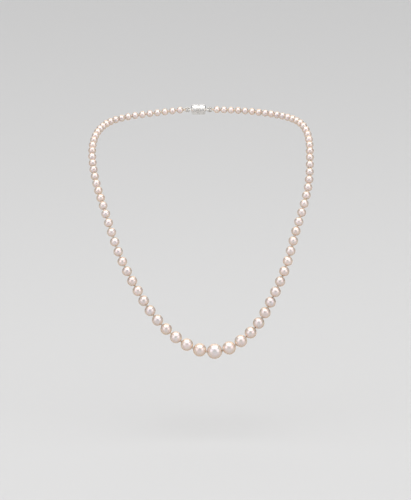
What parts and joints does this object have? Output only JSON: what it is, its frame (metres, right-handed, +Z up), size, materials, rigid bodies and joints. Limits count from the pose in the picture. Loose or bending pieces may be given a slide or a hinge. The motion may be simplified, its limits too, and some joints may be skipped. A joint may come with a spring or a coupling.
{
  "type": "pearl necklace",
  "caption": "Princess-length necklace of graduated round pearls, knotted on silk and closed at the nape by a small magnetic barrel clasp.",
  "frame": {"origin": "the silk knot at the middle of the front, beside the largest pearl, where the strand lies on the chest", "axes": "+Z up, +Y from the chest to the nape, +X across the front towards the wearer's left"},
  "size_m": [0.1192, 0.1071, 0.1164],
  "materials": {
    "nacre": "creamy rose-white nacre, soft satin lustre",
    "silk": "twisted bead silk, ivory",
    "silver": "polished sterling silver, fine wear",
    "magnet": "nickel-plated magnet, satin",
    "gimp": "fine coiled silver wire"
  },
  "bodies": {
    "front": {"pearl_centre": "nacre", "pearl_left_01": "nacre", "silk_thread": "silk"},
    "left_strand_01": {"pearl_left_02": "nacre", "pearl_left_03": "nacre"},
    "left_strand_02": {"pearl_left_04": "nacre", "pearl_left_05": "nacre"},
    "left_strand_03": {"pearl_left_06": "nacre", "pearl_left_07": "nacre", "pearl_left_08": "nacre"},
    "left_strand_04": {"pearl_left_09": "nacre", "pearl_left_10": "nacre", "pearl_left_11": "nacre", "pearl_left_12": "nacre"},
    "left_strand_05": {"pearl_left_13": "nacre", "pearl_left_14": "nacre", "pearl_left_15": "nacre", "pearl_left_16": "nacre", "pearl_left_17": "nacre"},
    "left_strand_06": {"pearls_left_18_21": "nacre"},
    "left_strand_07": {"pearls_left_22_25": "nacre"},
    "left_strand_08": {"pearls_left_26_29": "nacre"},
    "left_strand_09": {"pearls_left_30_33": "nacre"},
    "left_strand_10": {"pearls_left_34_37": "nacre"},
    "left_strand_11": {"pearls_left_38_41": "nacre"},
    "left_strand_12": {"pearls_left_42_43": "nacre"},
    "clasp_socket_half": {"clasp_socket": "silver", "socket_magnet": "magnet", "gimp_socket": "gimp"},
    "right_strand_01": {"pearl_right_01": "nacre", "pearl_right_02": "nacre"},
    "right_strand_02": {"pearl_right_03": "nacre", "pearl_right_04": "nacre"},
    "right_strand_03": {"pearl_right_05": "nacre", "pearl_right_06": "nacre", "pearl_right_07": "nacre"},
    "right_strand_04": {"pearl_right_08": "nacre", "pearl_right_09": "nacre", "pearl_right_10": "nacre", "pearl_right_11": "nacre"},
    "right_strand_05": {"pearl_right_12": "nacre", "pearl_right_13": "nacre", "pearl_right_14": "nacre", "pearl_right_15": "nacre", "pearl_right_16": "nacre"},
    "right_strand_06": {"pearls_right_17_20": "nacre"},
    "right_strand_07": {"pearls_right_21_24": "nacre"},
    "right_strand_08": {"pearls_right_25_28": "nacre"},
    "right_strand_09": {"pearls_right_29_32": "nacre"},
    "right_strand_10": {"pearls_right_33_36": "nacre"},
    "right_strand_11": {"pearls_right_37_40": "nacre"},
    "right_strand_12": {"pearls_right_41_43": "nacre"},
    "clasp_plug_half": {"clasp_plug": "silver", "plug_magnet": "magnet", "gimp_plug": "gimp"}
  },
  "joints": [
    {"name": "left_half_opening", "type": "hinge", "parent": "front", "child": "left_strand_01", "pos_m": [-0.0073, 0.00048, 0.00191], "axis": [-0.0172, -0.9891, 0.1461], "range_deg": [0, 28.3], "deforming": ["silk_thread"]},
    {"name": "left_bend_02", "type": "hinge", "parent": "left_strand_01", "child": "left_strand_02", "pos_m": [-0.01886, 0.00181, 0.00951], "axis": [0.0645, -0.9619, 0.2656], "range_deg": [0, 12.3]},
    {"name": "left_bend_03", "type": "hinge", "parent": "left_strand_02", "child": "left_strand_03", "pos_m": [-0.02794, 0.00373, 0.01867], "axis": [-0.0777, -0.9884, 0.1302], "range_deg": [0, 12.1]},
    {"name": "left_bend_04", "type": "hinge", "parent": "left_strand_03", "child": "left_strand_04", "pos_m": [-0.03774, 0.00652, 0.03401], "axis": [0.0601, -0.9746, 0.2158], "range_deg": [0, 6.9]},
    {"name": "left_bend_05", "type": "hinge", "parent": "left_strand_04", "child": "left_strand_05", "pos_m": [-0.04749, 0.01039, 0.05422], "axis": [0.828, -0.3198, 0.4606], "range_deg": [0, 17.9]},
    {"name": "left_bend_06", "type": "hinge", "parent": "left_strand_05", "child": "left_strand_06", "pos_m": [-0.05517, 0.02195, 0.07605], "axis": [0.9405, -0.0163, 0.3395], "range_deg": [0, 21.5]},
    {"name": "left_bend_07", "type": "hinge", "parent": "left_strand_06", "child": "left_strand_07", "pos_m": [-0.05942, 0.03654, 0.08852], "axis": [0.5597, -0.4379, 0.7035], "range_deg": [0, 11.2]},
    {"name": "left_bend_08", "type": "hinge", "parent": "left_strand_07", "child": "left_strand_08", "pos_m": [-0.0605, 0.05199, 0.099], "axis": [0.7045, -0.3639, 0.6093], "range_deg": [0, 19.7]},
    {"name": "left_bend_09", "type": "hinge", "parent": "left_strand_08", "child": "left_strand_09", "pos_m": [-0.05722, 0.06855, 0.10509], "axis": [0.5979, -0.3786, 0.7065], "range_deg": [0, 18.6]},
    {"name": "left_bend_10", "type": "hinge", "parent": "left_strand_09", "child": "left_strand_10", "pos_m": [-0.04991, 0.08416, 0.10726], "axis": [0.0373, -0.1548, 0.9872], "range_deg": [0, 29.3]},
    {"name": "left_bend_11", "type": "hinge", "parent": "left_strand_10", "child": "left_strand_11", "pos_m": [-0.03624, 0.09401, 0.10829], "axis": [-0.0599, -0.021, 0.998], "range_deg": [0, 19.4]},
    {"name": "left_bend_12", "type": "hinge", "parent": "left_strand_11", "child": "left_strand_12", "pos_m": [-0.02026, 0.09874, 0.10935], "axis": [-0.1087, 0.1472, 0.9831], "range_deg": [0, 4.6]},
    {"name": "left_bend_13", "type": "hinge", "parent": "left_strand_12", "child": "clasp_socket_half", "pos_m": [-0.01221, 0.10045, 0.10998], "axis": [-0.0009, -0.3427, 0.9395], "range_deg": [0, 12.8]},
    {"name": "right_half_opening", "type": "hinge", "parent": "front", "child": "right_strand_01", "pos_m": [0.00844, 0, 0.00048], "axis": [0.0174, 0.9894, -0.144], "range_deg": [0, 35.9], "deforming": ["silk_thread"]},
    {"name": "right_bend_02", "type": "hinge", "parent": "right_strand_01", "child": "right_strand_02", "pos_m": [0.02077, 0.00083, 0.00771], "axis": [0.0458, 0.9804, -0.1915], "range_deg": [0, 19.7]},
    {"name": "right_bend_03", "type": "hinge", "parent": "right_strand_02", "child": "right_strand_03", "pos_m": [0.0292, 0.00238, 0.01766], "axis": [-0.0086, 0.9891, -0.1467], "range_deg": [0, 13.4]},
    {"name": "right_bend_04", "type": "hinge", "parent": "right_strand_03", "child": "right_strand_04", "pos_m": [0.03746, 0.00488, 0.034], "axis": [0.5036, 0.7789, -0.3737], "range_deg": [0, 9.1]},
    {"name": "right_bend_05", "type": "hinge", "parent": "right_strand_04", "child": "right_strand_05", "pos_m": [0.04486, 0.01009, 0.05482], "axis": [0.9045, 0.2067, -0.3731], "range_deg": [0, 9.9]},
    {"name": "right_bend_06", "type": "hinge", "parent": "right_strand_05", "child": "right_strand_06", "pos_m": [0.05198, 0.02014, 0.07766], "axis": [0.8851, 0.2559, -0.3887], "range_deg": [0, 20.5]},
    {"name": "right_bend_07", "type": "hinge", "parent": "right_strand_06", "child": "right_strand_07", "pos_m": [0.05442, 0.03316, 0.09179], "axis": [0.8064, 0.3589, -0.47], "range_deg": [0, 12.8]},
    {"name": "right_bend_08", "type": "hinge", "parent": "right_strand_07", "child": "right_strand_08", "pos_m": [0.05435, 0.04782, 0.10286], "axis": [0.7624, 0.3923, -0.5146], "range_deg": [0, 19.5]},
    {"name": "right_bend_09", "type": "hinge", "parent": "right_strand_08", "child": "right_strand_09", "pos_m": [0.05051, 0.06369, 0.10927], "axis": [0.5954, 0.4206, -0.6845], "range_deg": [0, 24]},
    {"name": "right_bend_10", "type": "hinge", "parent": "right_strand_09", "child": "right_strand_10", "pos_m": [0.04178, 0.07821, 0.1106], "axis": [0.1943, 0.2046, -0.9594], "range_deg": [0, 17.3]},
    {"name": "right_bend_11", "type": "hinge", "parent": "right_strand_10", "child": "right_strand_11", "pos_m": [0.02954, 0.0894, 0.11051], "axis": [0.0052, -0.0026, -1], "range_deg": [0, 16.7]},
    {"name": "right_bend_12", "type": "hinge", "parent": "right_strand_11", "child": "right_strand_12", "pos_m": [0.01492, 0.09647, 0.11041], "axis": [0.1123, 0.2194, -0.9692], "range_deg": [0, 6.7]},
    {"name": "plug_twist", "type": "hinge", "parent": "right_strand_12", "child": "clasp_plug_half", "pos_m": [0.0036, 0.10046, 0.11], "axis": [1, 0.0008, 0.0013], "range_deg": [-90, 90], "deforming": ["silk_thread"]}
  ],
  "couplings": [
    {"joint": "left_bend_02", "follows": "left_half_opening", "ratio": 0.4316},
    {"joint": "left_bend_03", "follows": "left_half_opening", "ratio": 0.4249},
    {"joint": "left_bend_04", "follows": "left_half_opening", "ratio": 0.2416},
    {"joint": "left_bend_05", "follows": "left_half_opening", "ratio": 0.6283},
    {"joint": "left_bend_06", "follows": "left_half_opening", "ratio": 0.7569},
    {"joint": "left_bend_07", "follows": "left_half_opening", "ratio": 0.3925},
    {"joint": "left_bend_08", "follows": "left_half_opening", "ratio": 0.6924},
    {"joint": "left_bend_09", "follows": "left_half_opening", "ratio": 0.6545},
    {"joint": "left_bend_10", "follows": "left_half_opening", "ratio": 1.0318},
    {"joint": "left_bend_11", "follows": "left_half_opening", "ratio": 0.6805},
    {"joint": "left_bend_12", "follows": "left_half_opening", "ratio": 0.1594},
    {"joint": "left_bend_13", "follows": "left_half_opening", "ratio": 0.4498},
    {"joint": "right_bend_02", "follows": "right_half_opening", "ratio": 0.5469},
    {"joint": "right_bend_03", "follows": "right_half_opening", "ratio": 0.3716},
    {"joint": "right_bend_04", "follows": "right_half_opening", "ratio": 0.2509},
    {"joint": "right_bend_05", "follows": "right_half_opening", "ratio": 0.2722},
    {"joint": "right_bend_06", "follows": "right_half_opening", "ratio": 0.5692},
    {"joint": "right_bend_07", "follows": "right_half_opening", "ratio": 0.3538},
    {"joint": "right_bend_08", "follows": "right_half_opening", "ratio": 0.5404},
    {"joint": "right_bend_09", "follows": "right_half_opening", "ratio": 0.6666},
    {"joint": "right_bend_10", "follows": "right_half_opening", "ratio": 0.48},
    {"joint": "right_bend_11", "follows": "right_half_opening", "ratio": 0.463},
    {"joint": "right_bend_12", "follows": "right_half_opening", "ratio": 0.183}
  ]
}
